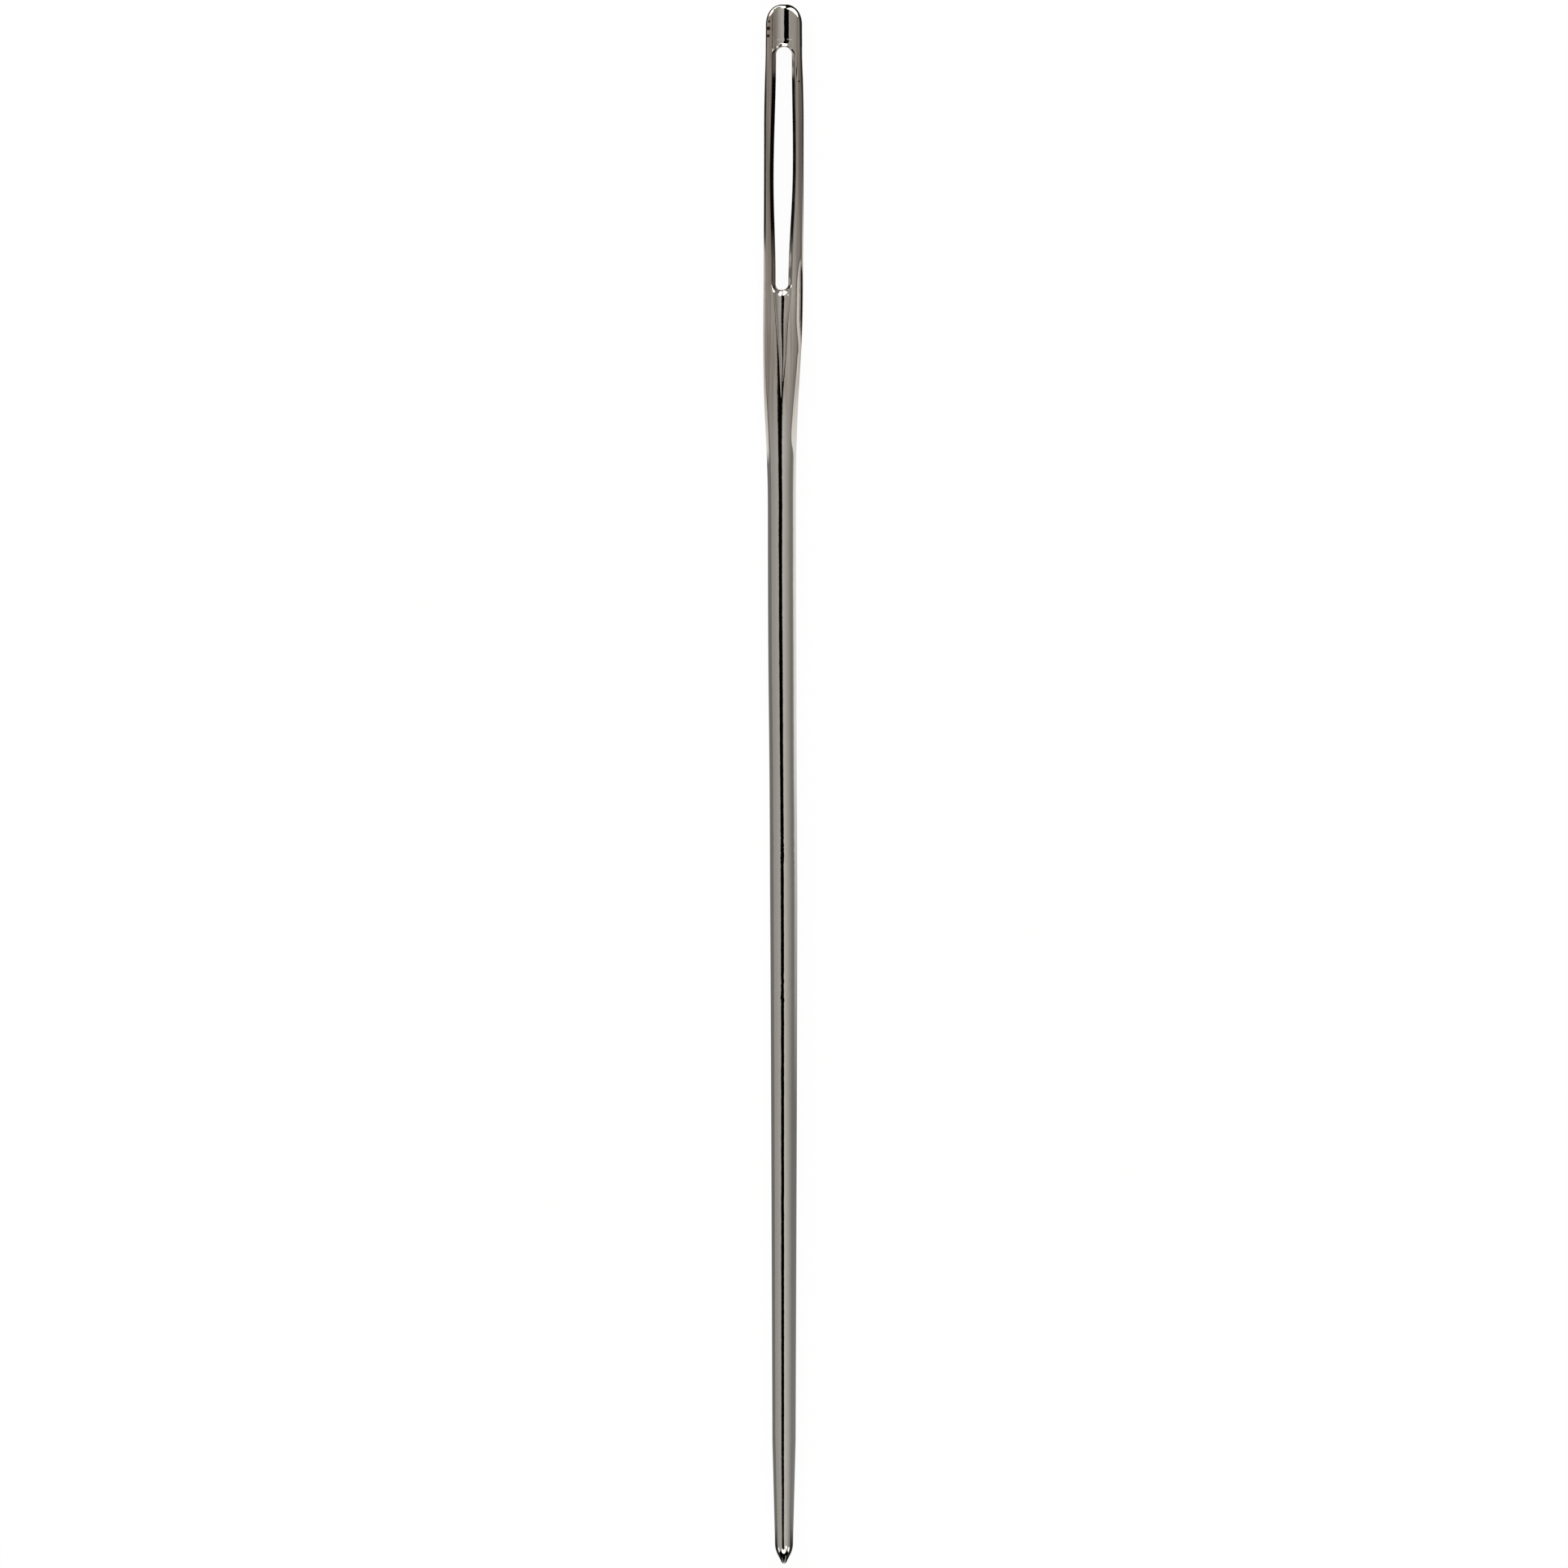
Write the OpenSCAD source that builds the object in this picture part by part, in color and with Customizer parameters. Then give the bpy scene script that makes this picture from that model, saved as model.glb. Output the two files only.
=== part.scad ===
// Steel yarn needle, lying flat with the faces of its eye up and down.
// X runs across the eye, +Y points from the point to the eye end, and +Z is up.
// The origin is under the middle of the needle, on the surface that the shank rests on.
// Stations along the needle are counted in mm from the tip of the point.

/* [Wire] */
// Overall length, from the tip to the eye end
needle_length = 125; // [112:0.5:145]
// Diameter of the wire, which the plain shank keeps
wire_d = 2.2; // [2.1:0.01:2.45]

/* [Point] */
// Radius of the blunt nose
nose_r = 0.22; // [0.15:0.01:0.4]
// Angle between the axis and the cone of the point
point_angle = 27; // [24:1:40]
// Diameter at the shoulder, where the cone of the point ends
shoulder_d = 1.42; // [1.3:0.01:1.7]
// Radius that rounds the shoulder
shoulder_round = 0.9; // [0.6:0.1:2.4]
// Distance from the tip to the end of the short taper
short_taper_end = 10; // [6:0.5:14]
// Diameter at the end of the short taper
short_taper_d = 1.87; // [1.8:0.01:2]
// Length of the long taper between the short taper and the plain shank
long_taper_length = 44; // [30:1:50]

/* [Head] */
// Length of the head, from the plain shank to the eye end
head_length = 39; // [37:0.5:46]
// Length over which the round wire flattens into the head
flattening_length = 15; // [11:0.5:15.5]
// Width of the head
head_width = 3.18; // [3:0.01:3.8]
// Thickness of the head
head_thickness = 1.52; // [1.4:0.01:1.8]
// Width of the head where its rounded end begins
end_width = 2.9; // [2.7:0.01:3]
// Height of the rounded end
end_height = 1.66; // [1.2:0.01:2.2]
// Length over which the head narrows before its rounded end
end_narrowing = 8; // [3:0.5:12]

/* [Eye] */
// Length of the eye
eye_length = 19.5; // [17:0.1:20.5]
// Width of the eye at its widest
eye_width = 1.53; // [1.3:0.01:1.8]
// Width of the eye near the eye end of the needle
eye_top_width = 1.26; // [1:0.01:1.4]
// Width of the eye near the shank
eye_bottom_width = 1.02; // [0.8:0.01:1.25]
// Metal between the eye and the end of the needle
end_wall = 3.4; // [2.6:0.1:4]

/* [Gutters] */
// Length of the gutter between the eye and the shank
gutter_length = 9; // [6:0.1:11]
// Width of the gutters at the ends of the eye
gutter_width = 1.4; // [1.2:0.01:1.7]
// Depth of the gutters at the ends of the eye
gutter_depth = 0.35; // [0.2:0.01:0.45]

/* [Hidden] */

// Stations along the needle
head_start = needle_length - head_length;
plain_start = short_taper_end + long_taper_length;
end_start = needle_length - end_height;
eye_top = needle_length - end_wall;
eye_bottom = eye_top - eye_length;
eye_middle = (eye_top + eye_bottom) / 2;
gutter_tip = eye_bottom - gutter_length;
// The rails beside the eye run between the centres of its rounded ends
rail_start = eye_bottom + eye_bottom_width / 2;
rail_end = eye_top - eye_top_width / 2;

// Smoothness of the curves
turn_sides = 64;
head_sides = 48;
flattening_rings = 16;
narrowing_rings = 2;
end_rings = 8;
nose_steps = 6;
eye_end_steps = 8;
eye_side_steps = 12;
// Rings closer than this to the end of a stretch are left out
ring_gap = 0.05;

// Height of the gutter's tip over the wire, so that the gutter fades in
gutter_lift = 0.01;
// Exponent of the rounded end, a little squarer than a circle
end_power = 2.2;
// Share of its full curve that the rounded end runs through before its small flat
end_sweep = 0.985;
// Colour of the polished metal
steel = [0.62, 0.61, 0.59];

// Runs smoothly from 0 to 1 as t does
function ease(t) = (1 - cos(180 * max(0, min(1, t)))) / 2;

// Mixes two sizes
function mix(from, to, share) = from + (to - from) * share;

// Points on an arc about a centre, each as [radius, station]
function arc_points(centre, r, from, to, steps) =
    [for (i = [0:steps])
        centre + r * [cos(mix(from, to, i / steps)), sin(mix(from, to, i / steps))]];

// Station at which the cone of the point would reach its own apex
cone_apex = nose_r - nose_r / sin(point_angle);
// The shoulder's corner, before it is rounded
shoulder = [shoulder_d / 2, cone_apex + shoulder_d / 2 / tan(point_angle)];
taper_angle = atan((short_taper_d / 2 - shoulder[0]) / (short_taper_end - shoulder[1]));
// The shoulder's arc touches the cone and the short taper
shoulder_reach = shoulder_round * tan((point_angle - taper_angle) / 2);
shoulder_touch = shoulder + shoulder_reach * [sin(taper_angle), cos(taper_angle)];
shoulder_centre = shoulder_touch - shoulder_round * [cos(taper_angle), -sin(taper_angle)];

// Half of the wire's outline, from the tip to the end of the plain shank
function wire_outline() = concat(
    [[0, 0]],
    [for (i = [1:nose_steps]) let (a = mix(-90, -point_angle, i / nose_steps))
        [nose_r * cos(a), nose_r + nose_r * sin(a)]],
    arc_points(shoulder_centre, shoulder_round, -point_angle, -taper_angle, nose_steps),
    [
        [short_taper_d / 2, short_taper_end],
        [wire_d / 2, plain_start],
        [wire_d / 2, head_start],
        [0, head_start],
    ]);

// Share of the full head that the rounded end keeps at a station
function end_share(s) =
    pow(1 - pow(end_sweep * max(0, s - end_start) / end_height, end_power), 1 / end_power);

// Half width and half thickness of the head at a station
function half_width(s) =
    end_share(s) * mix(wire_d, mix(end_width, head_width,
        ease((end_start - s) / end_narrowing)), ease((s - head_start) / flattening_length)) / 2;
function half_thickness(s) =
    end_share(s) * mix(wire_d, head_thickness,
        ease((s - head_start) / flattening_length)) / 2;

// Stations of the rings that the head is drawn through
head_stations = concat(
    [for (i = [0:flattening_rings]) head_start + flattening_length * i / flattening_rings],
    [for (i = [narrowing_rings:-1:0]) end_start - end_narrowing * i / narrowing_rings],
    [for (i = [1:end_rings]) end_start + end_height * sin(90 * i / end_rings)]);

// Stations of the rings of one stretch of the head, its two ends among them
function stretch_stations(from, to) = concat(
    [from],
    [for (s = head_stations) if (s > from + ring_gap && s < to - ring_gap) s],
    [to]);

// One oval ring of the head, with the needle's axis at the origin
function ring(s) =
    [for (i = [0:head_sides - 1]) let (a = 360 * i / head_sides)
        [half_width(s) * cos(a), s, half_thickness(s) * sin(a)]];

// Half width of the eye at a station
function eye_half(s) =
    let (
        end_w = s > eye_middle ? eye_top_width : eye_bottom_width,
        to_end = s > eye_middle ? eye_top - s : s - eye_bottom,
        rounding = min(1, to_end / (end_w / 2)))
    mix(end_w, eye_width, ease((to_end - end_w / 2) / (eye_length / 2 - end_w / 2))) / 2
        * sqrt(1 - pow(1 - rounding, 2));

// Stations of the eye's outline: close together at its rounded ends
eye_stations = concat(
    [for (i = [0:eye_end_steps])
        eye_bottom + eye_bottom_width / 2 * (1 - cos(90 * i / eye_end_steps))],
    [for (i = [1:eye_side_steps])
        mix(eye_bottom + eye_bottom_width / 2, eye_top - eye_top_width / 2,
            i / eye_side_steps)],
    [for (i = [1:eye_end_steps])
        eye_top - eye_top_width / 2 * (1 - sin(90 * i / eye_end_steps))]);

// The gutters are round in section, and meet the head's oval face at the gutter's width
face_at_edge = head_thickness / 2 * sqrt(1 - pow(gutter_width / head_width, 2));
gutter_floor = head_thickness / 2 - gutter_depth;
edge_rise = face_at_edge - gutter_floor;
gutter_r = (pow(gutter_width / 2, 2) + pow(edge_rise, 2)) / (2 * edge_rise);
gutter_axis = gutter_floor + gutter_r;
gutter_tip_z = half_thickness(gutter_tip) + gutter_lift;
gutter_tilt = atan((gutter_axis - gutter_tip_z) / gutter_length);

// The flattened head between two stations, before the gutters and the eye are cut
module head_blank(from, to) {
    rings = [for (s = stretch_stations(from, to)) ring(s)];
    last = len(rings) - 1;
    sides = [for (k = [0:last - 1], i = [0:head_sides - 1])
        let (a = k * head_sides + i, b = k * head_sides + (i + 1) % head_sides)
        each [[a, b, a + head_sides], [b, b + head_sides, a + head_sides]]];
    ends = [
        [for (i = [head_sides - 1:-1:0]) i],
        [for (i = [0:head_sides - 1]) last * head_sides + i],
    ];
    polyhedron([for (r = rings) each r], concat(sides, ends));
}

// The trough that is cut into one face: a cone up to the eye, then a cylinder to the end
module gutter() {
    cone_length = gutter_length / cos(gutter_tilt);
    translate([0, gutter_tip, gutter_tip_z])
        rotate([gutter_tilt - 90, 0, 0])
            cylinder(h = cone_length, r1 = 0, r2 = gutter_r, $fn = turn_sides);
    translate([0, eye_bottom - gutter_r * tan(gutter_tilt), gutter_axis])
        rotate([-90, 0, 0])
            cylinder(h = needle_length, r = gutter_r, $fn = turn_sides);
}

// The slot that the yarn passes through
module eye() {
    right = [for (s = eye_stations) [eye_half(s), s]];
    left = [for (i = [len(eye_stations) - 2:-1:1]) [-eye_half(eye_stations[i]), eye_stations[i]]];
    translate([0, 0, -wire_d])
        linear_extrude(2 * wire_d)
            polygon(concat(right, left));
}

// Lays a piece on the resting surface, with the middle of the needle over the origin
module lay() {
    translate([0, -needle_length / 2, wire_d / 2])
        children();
}

// One stretch of the finished head
module head_stretch(from, to) {
    color(steel)
        lay()
            difference() {
                head_blank(from, to);
                gutter();
                mirror([0, 0, 1]) gutter();
                eye();
            }
}

// The metal on one side of the eye: side is 1 for +X and -1 for -X
module eye_rail(side) {
    intersection() {
        head_stretch(rail_start, rail_end);
        translate([side * head_width / 2, 0, 0])
            cube([head_width, needle_length, 2 * wire_d], center = true);
    }
}

// The round wire with its point and its tapers
module shank() {
    color(steel)
        lay()
            rotate([-90, 0, 0])
                rotate_extrude($fn = turn_sides)
                    polygon(wire_outline());
}

module neck() {
    head_stretch(head_start, rail_start);
}

module eye_rail_left() {
    eye_rail(-1);
}

module eye_rail_right() {
    eye_rail(1);
}

module crown() {
    head_stretch(rail_end, needle_length);
}

shank();
neck();
eye_rail_left();
eye_rail_right();
crown();
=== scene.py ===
"""Steel yarn needle: a polished, nickel-plated wire with a pressed head and a long eye.

The needle lies on a white table and is seen from above. Its mesh is one ring of
points drawn out from the point to the crown, with the eye opened in the head.
Sizes are in millimetres until the finished mesh is brought to metres.
"""
import math

import bmesh
import bpy
from mathutils import Matrix, Vector


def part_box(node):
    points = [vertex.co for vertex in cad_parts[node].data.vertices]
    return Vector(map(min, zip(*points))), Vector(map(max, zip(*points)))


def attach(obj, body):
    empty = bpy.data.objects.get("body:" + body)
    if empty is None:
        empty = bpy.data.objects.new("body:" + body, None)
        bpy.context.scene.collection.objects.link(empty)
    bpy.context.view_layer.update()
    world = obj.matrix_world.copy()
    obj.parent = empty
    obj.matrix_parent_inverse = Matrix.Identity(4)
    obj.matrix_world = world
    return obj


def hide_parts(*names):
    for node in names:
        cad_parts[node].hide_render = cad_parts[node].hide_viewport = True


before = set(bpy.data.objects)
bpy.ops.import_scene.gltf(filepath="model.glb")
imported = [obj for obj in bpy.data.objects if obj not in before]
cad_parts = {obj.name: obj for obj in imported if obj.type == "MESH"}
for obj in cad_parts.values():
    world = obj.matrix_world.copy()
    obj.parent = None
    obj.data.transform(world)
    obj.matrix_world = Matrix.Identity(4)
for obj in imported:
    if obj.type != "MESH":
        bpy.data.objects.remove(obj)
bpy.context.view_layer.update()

# Stations along the needle, in mm from the tip, taken from the frame
MM = 0.001
BODY_NODES = ("shank", "neck", "eye_rail_left", "eye_rail_right", "crown")
TIP_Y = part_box("shank")[0][1] / MM
HEAD_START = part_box("shank")[1][1] / MM - TIP_Y
RAIL_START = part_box("neck")[1][1] / MM - TIP_Y
RAIL_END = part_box("crown")[0][1] / MM - TIP_Y
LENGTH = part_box("crown")[1][1] / MM - TIP_Y
WIRE_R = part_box("shank")[1][2] / MM / 2
HEAD_HALF_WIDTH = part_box("eye_rail_right")[1][0] / MM

# Point and tapers
NOSE_R = 0.22
POINT_ANGLE = math.radians(27)
SHOULDER_R = 0.71
SHOULDER_ROUND = 2.0
SHORT_TAPER_END = 10.0
SHORT_TAPER_R = 0.935
PLAIN_START = 54.0

# Head
FLATTENING = 15.0
HEAD_HALF_THICKNESS = 0.76
END_HALF_WIDTH = 1.45
END_HEIGHT = 1.66
END_NARROWING = 8.0
END_POWER = 2.2
END_SWEEP = 0.985
# The crown is a plate: its face rolls down near the outline, then turns a small edge
PLATE_START = 117.0
PLATE_FULL = 122.5
ROLL_WIDTH = 0.4
ROLL_R = 0.65
EDGE_R = 0.14
# The roll is missing round this place across the crown, and comes back over this distance
UNROLLED = -0.4
UNROLLED_REACH = 0.33
# Distance from the axis at which the crown's domed face would come down to nothing
DOME_REACH = 2.2
# The left flank runs out to a thinner edge while the round wire turns into the head
THIN_EDGE = 0.15
THIN_EDGE_START = 86.0
THIN_EDGE_END = 105.0
THIN_EDGE_FADE = 6.0
# Flat facet that pressing leaves on the right flank, with a thin ledge outside it
FACET_START = 86.5
FACET_END = 109.0
FACET_RISE = 4.0
FACET_FALL = 7.0
FACET_SLOPE = math.tan(math.radians(62))
FACET_CLEAR = 0.9
LEDGE = 0.17
LEDGE_START = 97.0
LEDGE_RISE = 3.0
LEDGE_FALL = 5.0
LEDGE_HEIGHT = 0.03
# The wire is pressed a little wide before the head, over this stretch
SWELL = 0.037
SWELL_START = 62.0
SWELL_LENGTH = 12.0
EARLY_WIDENING = 1.0
# Sideways bends left in the wire below the head: depth, place and length
BENDS = ((0.16, 82.0, 20.0), (0.11, 93.0, 5.0))

# Eye: half widths at the middle and at the centres of its rounded ends
EYE_HALF = 0.765
EYE_TOP_R = 0.63
EYE_BOTTOM_R = 0.51
# The eye's lower end stands a little to the left
EYE_LEAN = 0.12
LEAN_START = 96.0
LEAN_RISE = 4.0
# Widths of the lips that turn down into the eye
SIDE_LIP = 0.33
TOP_LIP = 0.27
BOTTOM_LIP = 0.55
# Share of the way to the mid-plane that the turn of a lip takes, at the sides and the ends
SIDE_TURN = 0.5
END_TURN = 0.62
# Share of a side lip's width and height that is left where its turn ends
SIDE_WIDTH_LEFT = 0.6
SIDE_HEIGHT_LEFT = 0.7
# Power by which an end's lip gives way to the side lips
END_FADE = 0.7
# Share of its height that the face loses across the lip at each end of the eye
TOP_DROP = 0.35
BOTTOM_DROP = 0.42

# Gutters: radius, height of the floor and sideways place, below and above the eye
GUTTER_LENGTH = 9.0
LOWER_GUTTER = (1.03, 0.42, 0.11)
UPPER_GUTTER = (1.6, 0.34, 0.19)
GUTTER_TIP_R = 0.06
# Height of the gutter's tip over the face, and how steeply the gutter leaves it there
GUTTER_LIFT = 0.01
GUTTER_EXIT = 0.5
# Share of the gutter's radius beyond which its wall runs on straight
GUTTER_STEEP = 0.95
# Width that rounds the gutter's crease, in full where the face is at least this high
CREASE = 0.03
CREASE_HEIGHT = 0.3

# Points round the needle: an outer and an inner share of each quarter turn
OUTER = 26
INNER = 22
QUARTER = OUTER + INNER
ROUND = 4 * QUARTER
# Rings in each stretch, from the point to the crown, and steps down into the eye
NOSE_RINGS = 12
SHOULDER_RINGS = 14
SHORT_TAPER_RINGS = 16
LONG_TAPER_RINGS = 24
SHANK_RINGS = 20
FLATTENING_RINGS = 18
NECK_RINGS = 120
EYE_RINGS = 72
END_WALL_RINGS = 16
CROWN_RINGS = 26
LIP_ROWS = 9
# Close rings begin this far before the gutter's tip
FINE_BEFORE = 0.5
# Length over which the rings come to curl round the eye's lower end
CURL_LENGTH = 3.5
# Lengths and angles below this count as nothing
TINY = 0.001


def mix(start, end, share):
    """The value that stands a share of the way from start to end."""
    return start + (end - start) * share


def ease(share):
    """Run smoothly from 0 to 1 as the share does."""
    share = max(0.0, min(1.0, share))
    return (1 - math.cos(math.pi * share)) / 2


def steps(start, end, count):
    """Evenly spaced values after start, up to and with end."""
    return [mix(start, end, i / count) for i in range(1, count + 1)]


def smooth_least(a, b, width):
    """The lesser of two heights, rounded where they cross."""
    share = max(0.0, min(1.0, 0.5 + (b - a) / (2 * width)))
    return mix(b, a, share) - width * share * (1 - share)


def taper_rings(start, end, count):
    """(station, radius) along a straight taper, after its start."""
    (start_s, start_r), (end_s, end_r) = start, end
    return [(s, mix(start_r, end_r, (s - start_s) / (end_s - start_s)))
            for s in steps(start_s, end_s, count)]


def wire_outline():
    """(station, radius) of the point, the tapers and the plain shank."""
    tangent = math.tan(POINT_ANGLE)
    apex = NOSE_R - NOSE_R / math.sin(POINT_ANGLE)
    corner = apex + SHOULDER_R / tangent
    taper = math.atan((SHORT_TAPER_R - SHOULDER_R) / (SHORT_TAPER_END - corner))
    reach = SHOULDER_ROUND * math.tan((POINT_ANGLE - taper) / 2)
    centre_s = corner + reach * math.cos(taper) + SHOULDER_ROUND * math.sin(taper)
    centre_r = SHOULDER_R + reach * math.sin(taper) - SHOULDER_ROUND * math.cos(taper)
    outline = []
    for a in steps(-math.pi / 2, -POINT_ANGLE, NOSE_RINGS):
        outline.append((NOSE_R + NOSE_R * math.sin(a), NOSE_R * math.cos(a)))
    for a in steps(-POINT_ANGLE - TINY, -taper, SHOULDER_RINGS):
        outline.append((centre_s + SHOULDER_ROUND * math.sin(a),
                        centre_r + SHOULDER_ROUND * math.cos(a)))
    short_end = (SHORT_TAPER_END, SHORT_TAPER_R)
    long_end = (PLAIN_START, WIRE_R)
    outline += taper_rings(outline[-1], short_end, SHORT_TAPER_RINGS)
    outline += taper_rings(short_end, long_end, LONG_TAPER_RINGS)
    outline += taper_rings(long_end, (HEAD_START, WIRE_R), SHANK_RINGS)
    return outline


def end_share(s):
    """Share of the full width that the rounded crown keeps at a station."""
    into = max(0.0, s - (LENGTH - END_HEIGHT)) / END_HEIGHT
    return (1 - (END_SWEEP * into) ** END_POWER) ** (1 / END_POWER)


def half_width(s):
    """Half width of the needle at a station, past the long taper."""
    full = mix(END_HALF_WIDTH, HEAD_HALF_WIDTH, ease((LENGTH - END_HEIGHT - s) / END_NARROWING))
    wire = WIRE_R + SWELL * ease((s - SWELL_START) / SWELL_LENGTH)
    flat = ease((s - HEAD_START + EARLY_WIDENING) / (FLATTENING + EARLY_WIDENING))
    return end_share(s) * mix(wire, full, flat)


def half_thickness(s):
    """Half thickness of the head at a station, crown and gutters aside."""
    return mix(WIRE_R, HEAD_HALF_THICKNESS, ease((s - HEAD_START) / FLATTENING))


def gutter_height(x, s):
    """Height of the trough's surface over the needle's mid-plane."""
    eye_bottom = RAIL_START - EYE_BOTTOM_R
    tip = eye_bottom - GUTTER_LENGTH
    along_eye = ease((s - RAIL_START) / (RAIL_END - RAIL_START))
    radius, floor, shift = (mix(a, b, along_eye) for a, b in zip(LOWER_GUTTER, UPPER_GUTTER))
    to_tip = max(0.0, min(1.0, (eye_bottom - s) / GUTTER_LENGTH))
    radius = mix(radius, GUTTER_TIP_R, to_tip)
    floor = mix(floor, half_thickness(tip) + GUTTER_LIFT, to_tip)
    floor += max(0.0, tip - s) * GUTTER_EXIT
    across = abs(x - shift)
    steep = GUTTER_STEEP * radius
    if across > steep:
        depth = math.sqrt(radius ** 2 - steep ** 2)
        wall = (across - steep) * steep / depth
        return floor + radius - depth + wall
    return floor + radius - math.sqrt(radius ** 2 - across ** 2)


def outline_gap(x, s):
    """Distance to the crown's outline, seen from above."""
    across = half_width(s) - abs(x)
    share = min(1.0, abs(x) * end_share(s) / half_width(s))
    reach = (1 - share ** END_POWER) ** (1 / END_POWER) / END_SWEEP
    along = min(LENGTH, LENGTH - END_HEIGHT + END_HEIGHT * reach) - s
    if across <= 0 or along <= 0:
        return 0.0
    return across * along / math.hypot(across, along)


def with_gutter(height, x, s):
    """A face's height with the trough taken out of it."""
    width = CREASE * min(1.0, height / CREASE_HEIGHT)
    if s < HEAD_START + FLATTENING / 4 or width <= 0:
        return height
    return min(height, smooth_least(height, gutter_height(x, s), width))


def facet_height(x, s):
    """Height of the facet over the mid-plane, far above the face where there is none."""
    pressed = 0
    if x > 0:
        pressed = ease((s - FACET_START) / FACET_RISE) * ease((FACET_END - s) / FACET_FALL)
    ledge = LEDGE * ease((s - LEDGE_START) / LEDGE_RISE) * ease((FACET_END - s) / LEDGE_FALL)
    inside = half_width(s) - x
    foot = LEDGE_HEIGHT * min(1.0, inside / LEDGE_HEIGHT) if ledge > 0 else 0
    return FACET_CLEAR * (1 - pressed) + foot + max(0.0, inside - ledge) * FACET_SLOPE


def face_height(x, s):
    """Height of the head's face over the mid-plane, gutter included."""
    reach = min(1.0, abs(x) / half_width(s))
    thin = 0
    if x <= 0:
        thin = (ease((s - THIN_EDGE_START) / THIN_EDGE_FADE)
                * ease((THIN_EDGE_END - s) / THIN_EDGE_FADE) * THIN_EDGE)
    oval = with_gutter(half_thickness(s) * (1 - reach ** 2) ** (0.5 + thin), x, s)
    facet = facet_height(x, s)
    if 0 < facet < oval + CREASE:
        oval = smooth_least(oval, facet, min(CREASE, facet))
    plate = ease((s - PLATE_START) / (PLATE_FULL - PLATE_START))
    if plate == 0:
        return oval
    gap = outline_gap(x, s)
    rolled = 1 - math.exp(-((x - UNROLLED) / UNROLLED_REACH) ** 2)
    roll = rolled * max(0.0, ROLL_WIDTH - gap) ** 2 / (2 * ROLL_R)
    edge = math.sqrt(1 - (1 - min(1.0, gap / EDGE_R)) ** 2)
    dome = HEAD_HALF_THICKNESS * math.sqrt(1 - (x / DOME_REACH) ** 2)
    return mix(oval, (with_gutter(dome, x, s) - roll) * edge, plate)


def bend(s):
    """Sideways place of the needle's axis."""
    return -sum(depth * math.exp(-((s - place) / length) ** 2) for depth, place, length in BENDS)


def lean(x, s):
    """Sideways shift of the eye's lower end, which fades to the flanks and up the eye."""
    up_eye = ease((s - RAIL_START) / (RAIL_END - RAIL_START))
    below = ease((s - LEAN_START) / LEAN_RISE) * (1 - up_eye)
    return -EYE_LEAN * below * max(0.0, 1 - (x / half_width(s)) ** 2)


def eye_half(s):
    """Half width of the eye at the mid-plane, between the centres of its ends."""
    middle = (RAIL_START + RAIL_END) / 2
    end_r = EYE_TOP_R if s > middle else EYE_BOTTOM_R
    to_end = RAIL_END - s if s > middle else s - RAIL_START
    return mix(end_r, EYE_HALF, ease(to_end / (RAIL_END - middle)))


def rim_half(s):
    """Half width of the opening on the face, where the lips of the eye begin."""
    inside = max(RAIL_START, min(RAIL_END, s))
    return (eye_half(inside) + SIDE_LIP) * end_share(s)


class Row:
    """One ring of the needle: its station, and how far it curls round an end of the eye."""

    def __init__(self, station, radius=None, curl=0.0, top=False):
        self.station = station
        self.radius = radius
        self.curl = curl
        self.top = top

    def place(self, column):
        """Point of the ring at a column, with +X at column 0 and +Z a quarter on."""
        quarter, step = divmod(column, QUARTER)
        from_side = step if quarter % 2 == 0 else QUARTER - step
        side = 1 if quarter in (0, 3) else -1
        up = 1 if quarter < 2 else -1
        if self.radius is not None:
            angle = math.pi / 2 * from_side / QUARTER
            wide = half_width(self.station) if self.station > SWELL_START else self.radius
            return Vector((side * wide * math.cos(angle), self.station,
                           up * self.radius * math.sin(angle)))
        x, s = self.plan(from_side)
        x *= side
        return Vector((x, s, up * face_height(x, s)))

    def plan(self, from_side):
        """Distance from the axis and station of a point, seen from above."""
        s = self.station
        wide = half_width(s)
        even = math.pi / 2 * OUTER / QUARTER
        rim = math.acos(min(0.99, rim_half(s) / max(wide, 1e-6)))
        rim = mix(even, rim, ease((s - HEAD_START) / (FLATTENING * 0.6)))
        if from_side <= OUTER:
            return wide * math.cos(rim * from_side / OUTER), s
        inward = (from_side - OUTER) / INNER
        x = wide * math.cos(mix(rim, math.pi / 2, inward))
        turn = math.pi / 2 * (1 - inward)
        end_r = EYE_TOP_R if self.top else EYE_BOTTOM_R
        lip = TOP_LIP if self.top else BOTTOM_LIP
        reach = (end_r + lip) * math.cos(turn) * self.curl
        x = mix(x, rim_half(s) * math.sin(turn), self.curl)
        return x, s + (reach if self.top else -reach)


def needle_rows():
    """Every ring from the tip to the crown, and the first and last ring of the eye."""
    rows = [Row(s, radius=r) for s, r in wire_outline()]
    fine_start = RAIL_START - EYE_BOTTOM_R - GUTTER_LENGTH - FINE_BEFORE
    stations = steps(HEAD_START, fine_start, FLATTENING_RINGS)
    stations += steps(fine_start, RAIL_START, NECK_RINGS)
    for s in stations:
        rows.append(Row(s, curl=ease((s - RAIL_START + CURL_LENGTH) / CURL_LENGTH)))
    first = len(rows) - 1
    for s in steps(RAIL_START, RAIL_END, EYE_RINGS):
        rows.append(Row(s, curl=1.0, top=s > RAIL_END - TINY))
    last = len(rows) - 1
    crown_start = LENGTH - END_HEIGHT
    fade = crown_start - RAIL_END + END_HEIGHT / 2
    stations = steps(RAIL_END, crown_start, END_WALL_RINGS)
    for a in steps(0, math.pi / 2, CROWN_RINGS):
        stations.append(crown_start + END_HEIGHT * math.sin(a))
    for s in stations:
        rows.append(Row(s, curl=1 - ease((s - RAIL_END) / fade), top=True))
    return rows, first, last


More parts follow.
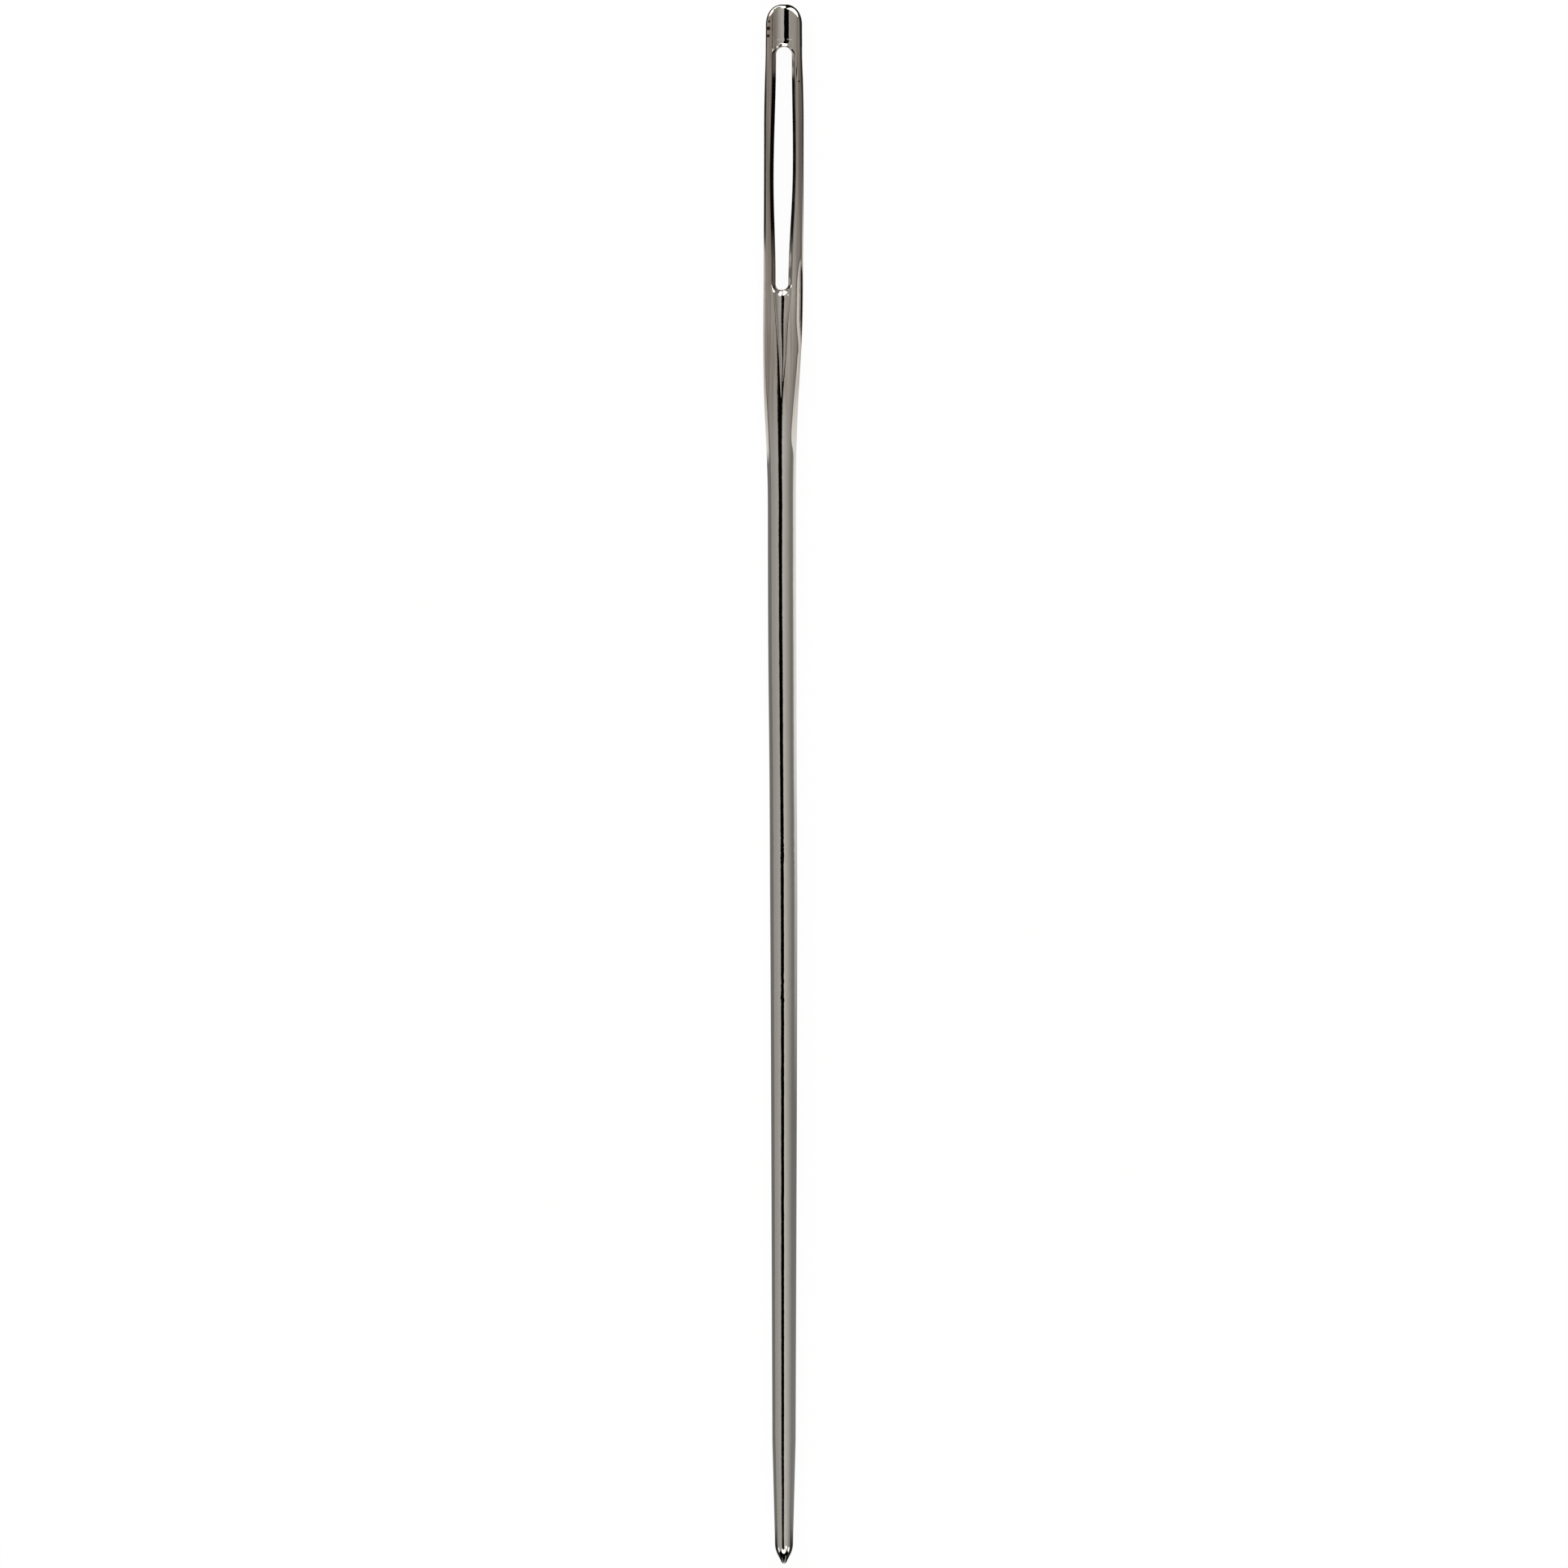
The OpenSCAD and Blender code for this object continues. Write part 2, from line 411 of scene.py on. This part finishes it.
def draw_out(bm, rows):
    """Extrude a ring through every row from the closed tip.

    The last ring lies flat at the crown's end, where merging its doubles closes it.
    """
    row_of = bm.verts.layers.int.new("row")
    column_of = bm.verts.layers.int.new("column")
    ring = bmesh.ops.create_circle(bm, segments=ROUND, radius=1.0)["verts"]
    for i, vert in enumerate(ring):
        vert[column_of] = i
        vert.co = rows[0].place(i)
    loop = list(bm.edges)
    made = bmesh.ops.extrude_edge_only(bm, edges=loop)["geom"]
    verts = [item for item in made if isinstance(item, bmesh.types.BMVert)]
    bmesh.ops.pointmerge(bm, verts=verts, merge_co=Vector((0, 0, 0)))
    for number, row in enumerate(rows[1:], 1):
        made = bmesh.ops.extrude_edge_only(bm, edges=loop)["geom"]
        loop = [item for item in made if isinstance(item, bmesh.types.BMEdge)]
        for vert in (item for item in made if isinstance(item, bmesh.types.BMVert)):
            vert[row_of] = number
            vert.co = row.place(vert[column_of])


def from_centre(column):
    """Steps between a column and the middle of its face."""
    return abs(column % (2 * QUARTER) - QUARTER)


def open_eye(bm, first, last):
    """Take out the faces inside the eye, and return the two rims.

    The last ring of the crown is open too, until its two halves are merged.
    """
    row_of = bm.verts.layers.int["row"]
    column_of = bm.verts.layers.int["column"]
    inside = []
    for face in bm.faces:
        rows = [vert[row_of] for vert in face.verts]
        columns = [vert[column_of] for vert in face.verts]
        if min(rows) < first or max(rows) > last or len(face.verts) < 4:
            continue
        if max(from_centre(column) for column in columns) <= INNER:
            inside.append(face)
    bmesh.ops.delete(bm, geom=inside, context="FACES")
    rims = {1: [], -1: []}
    for edge in bm.edges:
        if edge.is_boundary and edge.verts[0][row_of] <= last:
            up = 1 if edge.verts[0][column_of] < 2 * QUARTER else -1
            rims[up].append(edge)
    return rims


def rim_point(row, rows, first, last, column):
    """Mid-plane edge of the eye under a rim point, and how much of an end it is."""
    side = 1 if column < QUARTER or column > 3 * QUARTER else -1
    if row == first or row == last:
        end_r = EYE_TOP_R if row == last else EYE_BOTTOM_R
        turn = math.pi / 2 * from_centre(column) / INNER
        out = 1 if row == last else -1
        edge = Vector((side * end_r * math.sin(turn),
                       rows[row].station + out * end_r * math.cos(turn), 0))
        return edge, math.cos(turn) ** END_FADE if turn < math.pi / 2 - TINY else 0.0
    s = rows[row].station
    return Vector((side * eye_half(s), s, 0)), 0.0


def lip_share(step, end, top):
    """How much of the lip's width and of its height is left at a step into the eye."""
    along = step / LIP_ROWS
    if along < SIDE_TURN:
        turn = along / SIDE_TURN
        side_w = 1 - 0.45 * turn + 0.05 * turn ** 2
        side_h = 1 - 0.3 * turn ** 2
    else:
        side_w = SIDE_WIDTH_LEFT * (1 - along) / (1 - SIDE_TURN)
        side_h = SIDE_HEIGHT_LEFT * (1 - along) / (1 - SIDE_TURN)
    end_w = max(0.0, 1 - along / END_TURN) ** 0.85
    into = min(along, END_TURN)
    end_h = 1 - TOP_DROP * into / END_TURN if top else 1 - BOTTOM_DROP * ease(into / 1.1)
    if along > END_TURN:
        end_h *= (1 - along) / (1 - END_TURN)
    return mix(side_w, end_w, end), mix(side_h, end_h, end)


def turn_lips(bm, rims, rows, first, last):
    """Roll each rim down into the eye, and join the two at the mid-plane."""
    row_of = bm.verts.layers.int["row"]
    column_of = bm.verts.layers.int["column"]
    depth_of = bm.verts.layers.float.new("eye_wall")
    for loop in rims.values():
        start = {}
        for edge in loop:
            for vert in edge.verts:
                start[(vert[row_of], vert[column_of])] = vert.co.copy()
        for step in range(1, LIP_ROWS + 1):
            made = bmesh.ops.extrude_edge_only(bm, edges=loop)["geom"]
            loop = [item for item in made if isinstance(item, bmesh.types.BMEdge)]
            for vert in (item for item in made if isinstance(item, bmesh.types.BMVert)):
                key = (vert[row_of], vert[column_of])
                edge_point, end = rim_point(key[0], rows, first, last, key[1])
                width, height = lip_share(step, end, key[0] == last)
                place = edge_point.lerp(start[key], width)
                place.z = start[key].z * height
                vert.co = place
                vert[depth_of] = step / LIP_ROWS * (1 - end)
    bmesh.ops.remove_doubles(bm, verts=bm.verts, dist=0.0005)


def make_needle():
    """The whole needle as one closed mesh."""
    rows, first, last = needle_rows()
    bm = bmesh.new()
    draw_out(bm, rows)
    rims = open_eye(bm, first, last)
    turn_lips(bm, rims, rows, first, last)
    bmesh.ops.recalc_face_normals(bm, faces=bm.faces)
    for face in bm.faces:
        face.smooth = True
    for vert in bm.verts:
        x, s = vert.co.x, vert.co.y
        if LEAN_START < s < RAIL_END:
            x += lean(x, s)
        vert.co.x = x + bend(s)
    for name in ("row", "column"):
        bm.verts.layers.int.remove(bm.verts.layers.int[name])
    to_frame = Matrix.Scale(MM, 4) @ Matrix.Translation((0, TIP_Y, WIRE_R))
    bmesh.ops.transform(bm, matrix=to_frame, verts=bm.verts)
    mesh = bpy.data.meshes.new("yarn_needle")
    bm.to_mesh(mesh)
    bm.free()
    needle = bpy.data.objects.new("yarn_needle", mesh)
    bpy.context.scene.collection.objects.link(needle)
    return needle


class Graph:
    """Adds nodes to one node tree and joins them up."""

    def __init__(self, tree):
        self.nodes = tree.nodes
        self.links = tree.links

    def add(self, kind, inputs=None, **settings):
        node = self.nodes.new(kind)
        for name, value in settings.items():
            setattr(node, name, value)
        for name, value in (inputs or {}).items():
            self.feed(node, name, value)
        return node

    def feed(self, node, name, value):
        """Join a socket to an input, or set the input to a value."""
        if isinstance(value, bpy.types.NodeSocket):
            self.links.new(value, node.inputs[name])
        else:
            node.inputs[name].default_value = value

    def math(self, operation, a, b=0.0):
        return self.add("ShaderNodeMath", {0: a, 1: b}, operation=operation).outputs[0]

    def most(self, *values):
        """The greatest of several values."""
        result = values[0]
        for value in values[1:]:
            result = self.math("MAXIMUM", result, value)
        return result

    def product(self, *values):
        result = values[0]
        for value in values[1:]:
            result = self.math("MULTIPLY", result, value)
        return result

    def run(self, value, start, end, low=0.0, high=1.0, soft=False):
        """Go from low at start to high at end, and hold both beyond."""
        inputs = {"Value": value, "From Min": start, "From Max": end,
                  "To Min": low, "To Max": high}
        kind = "SMOOTHSTEP" if soft else "LINEAR"
        return self.add("ShaderNodeMapRange", inputs, interpolation_type=kind).outputs[0]

    def between(self, value, low, high, edge):
        """1 between two limits, with soft edges."""
        rise = self.run(value, low - edge, low + edge, soft=True)
        fall = self.run(value, high - edge, high + edge, 1.0, 0.0, soft=True)
        return self.product(rise, fall)

    def noise(self, place, scale, detail=2.0, stretch=(1, 1, 1), shift=(0, 0, 0)):
        """Even noise from 0 to 1, stretched along the axes."""
        mapped = self.add("ShaderNodeMapping", {"Vector": place, "Scale": stretch,
                                                "Location": shift})
        return self.add("ShaderNodeTexNoise", {"Vector": mapped.outputs[0], "Scale": scale,
                                               "Detail": detail}).outputs[0]

    def tint(self, share, first, second):
        """Mix two colours by a share."""
        node = self.add("ShaderNodeMix", data_type="RGBA")
        for number, value in ((0, share), (6, first), (7, second)):
            self.feed(node, number, value)
        return node.outputs[2]


# Finish of the needle, with painted shade for the eye's wall and a painted highlight on one
# flank
NICKEL = (0.66, 0.63, 0.58, 1)
# Brighter nickel for a painted highlight on the right half of the wire
PAINTED_HIGHLIGHT_NICKEL = (0.84, 0.81, 0.76, 1)
BROWN_NICKEL = (0.4, 0.34, 0.29, 1)
# Near black for the painted shade on the eye's wall, and for the real pits in the plating
SHADE_AND_PIT_BLACK = (0.05, 0.028, 0.012, 1)
# Lighter brownish patches on the eye's right wall
WALL_PATCH_STEEL = (0.32, 0.27, 0.22, 1)

# Stretches of the finish and of the painted highlight along the needle, in metres from its
# middle
HEAD_GRIME = (0.027, 0.043)
NECK_GRIME = (0.0295, 0.0385)
PAINTED_HIGHLIGHT_SIDE = (-0.055, -0.025)
DULL_POINT = (-0.06, -0.048)
SHINY_CONE = (-0.0615, -0.0605)
LIP_STRETCHES = ((0.0388, 0.0403), (0.0583, 0.0597))
NICKED_STRETCHES = ((-0.0069, -0.0041), (-0.0176, -0.0154))
# How the noise is drawn out along x, y and z, in waves to the metre
POLISHING = (5500, 110, 5500)
WALL_PATCH_STRETCH = (2500, 900, 1200)
WAVES = (700, 420, 700)
WAVE_PATCHES = (60, 60, 60)
RIPPLES = (1800, 1500, 1800)
BUMP_HEIGHT = 0.00002

# Pits in the plating: place across, place along and radius, in mm
PITS = (
    (-1.2, 60.55, 0.2),
    (-1.22, 59.95, 0.16),
    (-1.15, 61.1, 0.12),
    (1.24, 56.3, 0.09),
    (0.72, 45.4, 0.16),
)


def pit_mask(graph, x, y):
    """1 in the pits of the plating."""
    mask = 0.0
    for across, along, radius in PITS:
        aside = graph.math("SUBTRACT", x, across * MM)
        ahead = graph.math("SUBTRACT", y, along * MM)
        away = graph.math("SQRT", graph.math("ADD", graph.product(aside, aside),
                                             graph.product(ahead, ahead)))
        pit = graph.run(away, 0.6 * radius * MM, radius * MM, 1.0, 0.0)
        mask = graph.most(mask, pit)
    return mask


def plated_steel():
    """Polished nickel plate: brownish and streaked on the head, with painted shade on the eye's
    wall and a painted highlight on the right flank near the point.
    """
    material = bpy.data.materials.new("plated_steel")
    material.use_nodes = True
    graph = Graph(material.node_tree)
    shader = graph.nodes["Principled BSDF"]
    place = graph.add("ShaderNodeTexCoord").outputs["Object"]
    x, y = graph.add("ShaderNodeSeparateXYZ", {0: place}).outputs[:2]
    on_right = graph.run(x, 0, 0.0005)

    # Brown grime in the lengthwise polishing marks, strongest on the flanks of the head
    on_head = graph.run(y, *HEAD_GRIME, soft=True)
    on_neck = graph.between(y, *NECK_GRIME, 0.003)
    marks = graph.noise(place, 1.0, 3.0, POLISHING)
    marks = graph.run(marks, 0.4, 0.6)
    side = graph.run(graph.math("ABSOLUTE", graph.math("ADD", x, -0.0002)), 0.0003, 0.0011)
    grime = graph.most(graph.product(on_head, graph.run(marks, 0, 1, 0.45, 1.0), side),
                       graph.product(on_head, marks, 0.45),
                       graph.product(on_neck, graph.run(marks, 0, 1, 0.35, 0.85)))
    colour = graph.tint(grime, NICKEL, BROWN_NICKEL)
    # Painted highlight: the right half of the wire near the point is coloured brighter nickel,
    # fading out 25 mm before the middle
    bright = graph.product(on_right, graph.run(y, *PAINTED_HIGHLIGHT_SIDE, 1.0, 0.0))
    colour = graph.tint(bright, colour, PAINTED_HIGHLIGHT_NICKEL)

    # Painted shade: the punched wall of the eye is coloured near black, with lighter brownish
    # patches here and there on the right
    depth = graph.add("ShaderNodeAttribute", attribute_name="eye_wall").outputs["Fac"]
    in_eye = graph.run(depth, 0.05, 0.3)
    wall_patches = graph.noise(place, 1.0, 3.0, WALL_PATCH_STRETCH, (3, 1, 0))
    wall_patches = graph.product(graph.run(wall_patches, 0.45, 0.6), on_right)
    painted_eye_shade = graph.tint(wall_patches, SHADE_AND_PIT_BLACK, WALL_PATCH_STEEL)
    colour = graph.tint(in_eye, colour, painted_eye_shade)
    # The real pits in the plating take the same near black
    colour = graph.tint(pit_mask(graph, x, y), colour, SHADE_AND_PIT_BLACK)
    graph.feed(shader, "Base Color", colour)
    shader.inputs["Metallic"].default_value = 1.0

    # The eye's wall and the last stretch before the point are duller, and the cone shines
    rough = graph.most(graph.run(in_eye, 0, 1, 0.06, 0.18),
                       graph.run(y, *DULL_POINT, 0.13, 0.05))
    rough = graph.product(rough, graph.run(y, *SHINY_CONE, 0.35, 1.0))
    graph.feed(shader, "Roughness", rough)

    # Faint waves in the wire make the reflections wander, and the eye's lips are uneven
    waves = graph.noise(place, 1.0, 2.0, WAVES)
    patches = graph.noise(place, 1.0, 1.0, WAVE_PATCHES, (0, 5, 0))
    patches = graph.run(patches, 0.4, 0.65, 0.35, 1.3)
    ripples = graph.noise(place, 1.0, 2.0, RIPPLES, (2, 0, 0))
    lips = graph.most(*(graph.between(y, *part, 0.0002) for part in LIP_STRETCHES))
    nicks = graph.most(*(graph.between(y, *part, 0.0004) for part in NICKED_STRETCHES))
    uneven = graph.most(lips, graph.product(nicks, 0.6))
    ripples = graph.product(ripples, graph.run(uneven, 0, 1, 0.3, 1.6))
    height = graph.math("ADD", graph.product(waves, patches), ripples)
    bump = graph.add("ShaderNodeBump", {"Height": height, "Distance": BUMP_HEIGHT,
                                        "Strength": 1.0})
    graph.feed(shader, "Normal", bump.outputs[0])
    return material


# Light on the needle, in degrees: across is from overhead to +X, along to +Y
LEFT_PANEL = (-95.0, -22.0)
RIGHT_PANEL = (6.5, 95.0)
PANEL_REACH = (-35.0, 58.0)
PANEL_EDGE = 0.7
REACH_EDGE = 4.0
# How each panel's brightness runs across it: two angles, and the brightness at each
LEFT_TONES = (-70.0, -20.0, 0.43, 0.54)
RIGHT_TONES = (5.0, 80.0, 0.7, 0.23)
# No lamp stands closer than this to the plane across the needle
LAMP_CLEARANCE = 12.0
LAMP_EDGE = 1.5
# Lamps: from and to round the horizon from +Y, from and to down from overhead, and strength
LAMPS = (
    (1.0, 74.0, 20.0, 50.0, 3.6),
    (-75.0, -28.0, 16.0, 60.0, 4.5),
    (145.0, 180.0, 34.0, 51.0, 4.0),
    (-180.0, -145.0, 34.0, 51.0, 4.0),
    (112.0, 132.0, 28.0, 52.0, 2.0),
    (148.0, 180.0, 69.0, 89.0, 1.6),
    (-180.0, -148.0, 69.0, 89.0, 1.6),
    (108.0, 125.0, 68.0, 89.0, 1.4),
    (-125.0, -108.0, 68.0, 89.0, 1.4),
)


def studio_world():
    """White to the camera; to the metal, grey panels with a dark gap, and lamps."""
    world = bpy.data.worlds.new("studio")
    bpy.context.scene.world = world
    world.use_nodes = True
    graph = Graph(world.node_tree)
    graph.nodes.clear()
    direction = graph.add("ShaderNodeTexCoord").outputs["Generated"]
    x, y, z = graph.add("ShaderNodeSeparateXYZ", {0: direction}).outputs
    degree = math.degrees(1)
    across = graph.product(graph.math("ARCTAN2", x, z), degree)
    along = graph.product(graph.math("ARCSINE", y), degree)
    round_about = graph.product(graph.math("ARCTAN2", x, y), degree)
    down = graph.product(graph.math("ARCCOSINE", z), degree)

    left = graph.product(graph.between(across, *LEFT_PANEL, PANEL_EDGE),
                         graph.run(across, *LEFT_TONES))
    right = graph.product(graph.between(across, *RIGHT_PANEL, PANEL_EDGE),
                          graph.run(across, *RIGHT_TONES))
    light = graph.product(graph.math("ADD", left, right),
                          graph.between(along, *PANEL_REACH, REACH_EDGE))
    clear = graph.run(graph.math("ABSOLUTE", along), LAMP_CLEARANCE - 1, LAMP_CLEARANCE + 1)
    for start, end, high, low, strength in LAMPS:
        lamp = graph.product(graph.between(round_about, start, end, LAMP_EDGE),
                             graph.between(down, high, low, LAMP_EDGE), clear, strength)
        light = graph.most(light, lamp)

    studio = graph.add("ShaderNodeBackground", {"Color": (1, 0.985, 0.96, 1),
                                                "Strength": light})
    backdrop = graph.add("ShaderNodeBackground", {"Color": (1, 1, 1, 1), "Strength": 1.0})
    seen = graph.add("ShaderNodeLightPath").outputs["Is Camera Ray"]
    choose = graph.add("ShaderNodeMixShader", {0: seen, 1: studio.outputs[0],
                                               2: backdrop.outputs[0]})
    graph.add("ShaderNodeOutputWorld", {"Surface": choose.outputs[0]})


# The table round the needle, in metres from its middle, as the metal mirrors it
TABLE_HALF = 0.6
# A bright strip on the right: how it fades outward, ends toward the head and sets in
STRIP_FADE = (0.005, 0.008)
STRIP_END = (0.041, 0.044)
STRIP_START = (-0.035, 0.005)
# A bright patch left of the neck, which sets in on a slant
PATCH_START = (0.0185, 0.0215)
PATCH_ALONG = (0.026, 0.0435)
# A bright spot under the eye's upper end
SPOT_ALONG = (0.057, 0.059)
SPOT_ACROSS = (-0.002, 0.002)
# Dark cards lie everywhere else, and are lighter under the wire
CARDS_ALONG = (-0.0605, 0.044)
CARD_TONES = (0.03, 0.22)
# Share of white that the camera sees, with the rest for the needle's soft shadow
CAMERA_WHITE = 0.95


def white_table():
    """A wide white table top, with dark cards round the needle as the metal shows them."""
    bm = bmesh.new()
    bmesh.ops.create_grid(bm, x_segments=1, y_segments=1, size=TABLE_HALF)
    mesh = bpy.data.meshes.new("table_top")
    bm.to_mesh(mesh)
    bm.free()
    table = bpy.data.objects.new("table_top", mesh)
    bpy.context.scene.collection.objects.link(table)
    material = bpy.data.materials.new("white_table")
    material.use_nodes = True
    graph = Graph(material.node_tree)
    shader = graph.nodes["Principled BSDF"]
    shader.inputs["Base Color"].default_value = (0.9, 0.9, 0.9, 1)
    shader.inputs["Roughness"].default_value = 0.9
    shader.inputs["Specular IOR Level"].default_value = 0.0

    place = graph.add("ShaderNodeTexCoord").outputs["Object"]
    x, y = graph.add("ShaderNodeSeparateXYZ", {0: place}).outputs[:2]
    strip = graph.product(graph.run(x, 0.0, 0.0005), graph.run(x, *STRIP_FADE, 1.0, 0.3),
                          graph.run(graph.math("SUBTRACT", y, x), *STRIP_END, 1.0, 0.0),
                          graph.run(y, *STRIP_START))
    patch = graph.product(graph.run(x, -0.0005, 0.0, 1.0, 0.0),
                          graph.run(graph.math("ADD", y, x), *PATCH_START, 0.2, 1.0),
                          graph.between(y, *PATCH_ALONG, 0.001), 0.9)
    spot = graph.product(graph.between(y, *SPOT_ALONG, 0.0005),
                         graph.between(x, *SPOT_ACROSS, 0.0003))
    cards = graph.run(graph.between(y, *CARDS_ALONG, 0.001), 0.0, 1.0, *CARD_TONES)
    bare = graph.most(strip, patch, spot, cards)

    path = graph.add("ShaderNodeLightPath").outputs
    mirrored = graph.most(path["Is Glossy Ray"], path["Is Transmission Ray"])
    seen = graph.add("ShaderNodeMix", {0: mirrored, 2: 1.0, 3: bare}).outputs[0]
    glow = graph.add("ShaderNodeEmission", {"Color": (1, 1, 1, 1), "Strength": seen})
    share = graph.most(graph.product(path["Is Camera Ray"], CAMERA_WHITE), mirrored)
    choose = graph.add("ShaderNodeMixShader", {0: share, 1: shader.outputs[0],
                                               2: glow.outputs[0]})
    graph.feed(graph.nodes["Material Output"], "Surface", choose.outputs[0])
    mesh.materials.append(material)


# Camera: the photograph's width at the needle, the lens, and how far it stands off overhead
PHOTO_MM = 125.72
LENS_MM = 250.0
SENSOR_MM = 36.0
CAMERA_TILT = math.radians(4.7)


def overhead_camera():
    """Look down at the needle's middle from a little to its right."""
    data = bpy.data.cameras.new("overhead")
    data.lens = LENS_MM
    data.sensor_width = SENSOR_MM
    distance = PHOTO_MM * MM * LENS_MM / SENSOR_MM
    camera = bpy.data.objects.new("overhead", data)
    camera.location = (distance * math.sin(CAMERA_TILT), 0,
                       WIRE_R * MM + distance * math.cos(CAMERA_TILT))
    camera.rotation_euler = (0, CAMERA_TILT, 0)
    bpy.context.scene.collection.objects.link(camera)
    bpy.context.scene.camera = camera


overhead_camera()
studio_world()
white_table()

needle = make_needle()
needle.data.materials.append(plated_steel())
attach(needle, "root")
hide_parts(*BODY_NODES)

bpy.context.scene.view_settings.view_transform = "Standard"
